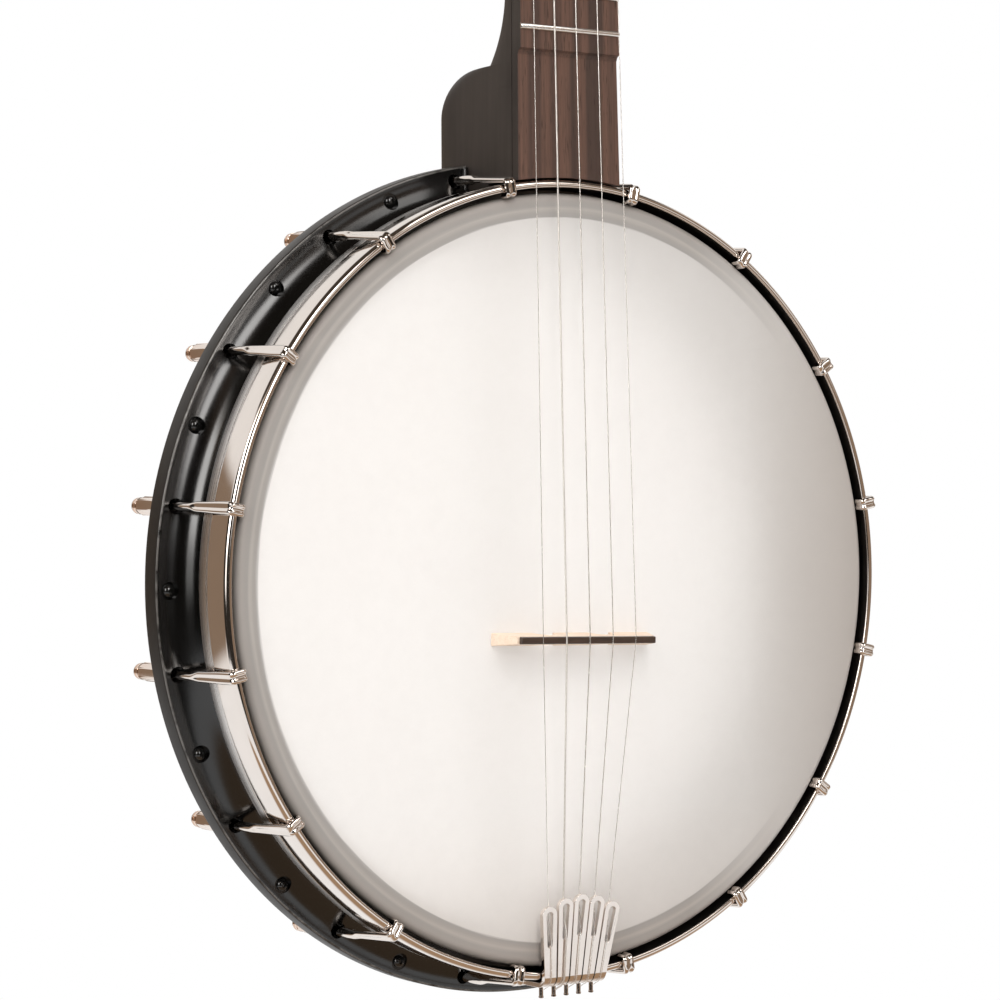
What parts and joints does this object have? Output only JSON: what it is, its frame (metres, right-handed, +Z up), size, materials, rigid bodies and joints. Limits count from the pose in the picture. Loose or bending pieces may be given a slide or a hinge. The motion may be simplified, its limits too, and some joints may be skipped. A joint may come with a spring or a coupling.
{
  "type": "open-back banjo",
  "caption": "Open-back banjo: black flanged rim, frosted drum head under a nickel hoop and hooks, scooped dark neck, fingered tailpiece, and geared pegs that turn the string posts.",
  "frame": {"origin": "point midway between the arms of a wall hanger, in the middle of the peghead's thickness under its shoulders", "axes": "+Z up along the banjo towards the top of the peghead, +Y out of the open back of the pot, +X to the right as seen from the front"},
  "size_m": [0.3372, 0.0935, 0.9429],
  "materials": {
    "black_moulding": "satin black moulding",
    "frosted_film": "frosted white coating on clear film",
    "polished_nickel": "polished nickel plate",
    "satin_aluminium": "satin",
    "steel": "turned steel",
    "black_stained_wood": "satin lacquer over black stain",
    "board_wood": "oiled dark reddish brown, with nickel frets",
    "maple": "bare maple",
    "ebony": "polished",
    "bone": "polished",
    "pearl_plastic": "pearly",
    "string_steel": "drawn wire"
  },
  "bodies": {
    "banjo": {"pot_rim": "black_moulding", "drum_head": "frosted_film", "flesh_hoop": "satin_aluminium", "tension_hoop": "polished_nickel", "coordinator_rod": "steel", "heel_rim_nut": "steel", "tail_rim_nut": "steel", "neck_lag_screw": "steel", "tail_bolt": "polished_nickel", "bridge_base": "maple", "bridge_cap": "ebony", "bracket_hook_01": "polished_nickel", "bracket_hook_02": "polished_nickel", "bracket_hook_03": "polished_nickel", "bracket_hook_04": "polished_nickel", "bracket_hook_05": "polished_nickel", "bracket_hook_06": "polished_nickel", "bracket_hook_07": "polished_nickel", "bracket_hook_08": "polished_nickel", "bracket_hook_09": "polished_nickel", "bracket_hook_10": "polished_nickel", "bracket_hook_11": "polished_nickel", "bracket_hook_12": "polished_nickel", "bracket_hook_13": "polished_nickel", "bracket_hook_14": "polished_nickel", "bracket_hook_15": "polished_nickel", "bracket_hook_16": "polished_nickel", "tailpiece_strap": "polished_nickel", "tailpiece_pivot": "steel", "tailpiece_finger_1": "polished_nickel", "tailpiece_finger_2": "polished_nickel", "tailpiece_finger_3": "polished_nickel", "tailpiece_finger_4": "polished_nickel", "tailpiece_finger_5": "polished_nickel", "neck": "black_stained_wood", "fretboard": "board_wood", "string_nut": "bone", "fifth_string_pip": "bone", "truss_rod": "steel", "truss_rod_cover": "black_moulding", "string_1": "string_steel", "string_2": "string_steel", "string_3": "string_steel", "string_4": "string_steel", "string_5": "string_steel", "tuner_1_housing": "polished_nickel", "tuner_2_housing": "polished_nickel", "tuner_3_housing": "polished_nickel", "tuner_4_housing": "polished_nickel", "fifth_peg_housing": "polished_nickel"},
    "tuner_1_post": {"tuner_1_post": "polished_nickel"},
    "tuner_1_button": {"tuner_1_button": "pearl_plastic"},
    "tuner_2_post": {"tuner_2_post": "polished_nickel"},
    "tuner_2_button": {"tuner_2_button": "pearl_plastic"},
    "tuner_3_post": {"tuner_3_post": "polished_nickel"},
    "tuner_3_button": {"tuner_3_button": "pearl_plastic"},
    "tuner_4_post": {"tuner_4_post": "polished_nickel"},
    "tuner_4_button": {"tuner_4_button": "pearl_plastic"},
    "fifth_peg_post": {"fifth_peg_post": "polished_nickel"},
    "fifth_peg_button": {"fifth_peg_button": "pearl_plastic"}
  },
  "joints": [
    {"name": "tuner_1_button_turn", "type": "hinge", "parent": "banjo", "child": "tuner_1_button", "pos_m": [-0.022, 0.00114, 0.0348], "axis": [0, 0.9689, -0.2473], "continuous": true},
    {"name": "tuner_1_post_turn", "type": "hinge", "parent": "banjo", "child": "tuner_1_post", "pos_m": [-0.022, 0.00114, 0.0348], "axis": [0, 0.9689, -0.2473], "continuous": true},
    {"name": "tuner_2_button_turn", "type": "hinge", "parent": "banjo", "child": "tuner_2_button", "pos_m": [-0.022, 0.014, 0.08518], "axis": [0, 0.9689, -0.2473], "continuous": true},
    {"name": "tuner_2_post_turn", "type": "hinge", "parent": "banjo", "child": "tuner_2_post", "pos_m": [-0.022, 0.014, 0.08518], "axis": [0, 0.9689, -0.2473], "continuous": true},
    {"name": "tuner_3_button_turn", "type": "hinge", "parent": "banjo", "child": "tuner_3_button", "pos_m": [0.022, 0.014, 0.08518], "axis": [0, 0.9689, -0.2473], "continuous": true},
    {"name": "tuner_3_post_turn", "type": "hinge", "parent": "banjo", "child": "tuner_3_post", "pos_m": [0.022, 0.014, 0.08518], "axis": [0, 0.9689, -0.2473], "continuous": true},
    {"name": "tuner_4_button_turn", "type": "hinge", "parent": "banjo", "child": "tuner_4_button", "pos_m": [0.022, 0.00114, 0.0348], "axis": [0, 0.9689, -0.2473], "continuous": true},
    {"name": "tuner_4_post_turn", "type": "hinge", "parent": "banjo", "child": "tuner_4_post", "pos_m": [0.022, 0.00114, 0.0348], "axis": [0, 0.9689, -0.2473], "continuous": true},
    {"name": "fifth_peg_button_turn", "type": "hinge", "parent": "banjo", "child": "fifth_peg_button", "pos_m": [-0.02364, -0.0073, -0.16435], "axis": [-1, 0, 0], "continuous": true},
    {"name": "fifth_peg_post_turn", "type": "hinge", "parent": "banjo", "child": "fifth_peg_post", "pos_m": [-0.02364, -0.0073, -0.16435], "axis": [-1, 0, 0], "continuous": true}
  ],
  "couplings": [
    {"joint": "tuner_1_post_turn", "follows": "tuner_1_button_turn", "ratio": 0.25},
    {"joint": "tuner_2_post_turn", "follows": "tuner_2_button_turn", "ratio": 0.25},
    {"joint": "tuner_3_post_turn", "follows": "tuner_3_button_turn", "ratio": 0.25},
    {"joint": "tuner_4_post_turn", "follows": "tuner_4_button_turn", "ratio": 0.25},
    {"joint": "fifth_peg_post_turn", "follows": "fifth_peg_button_turn", "ratio": 0.25}
  ]
}
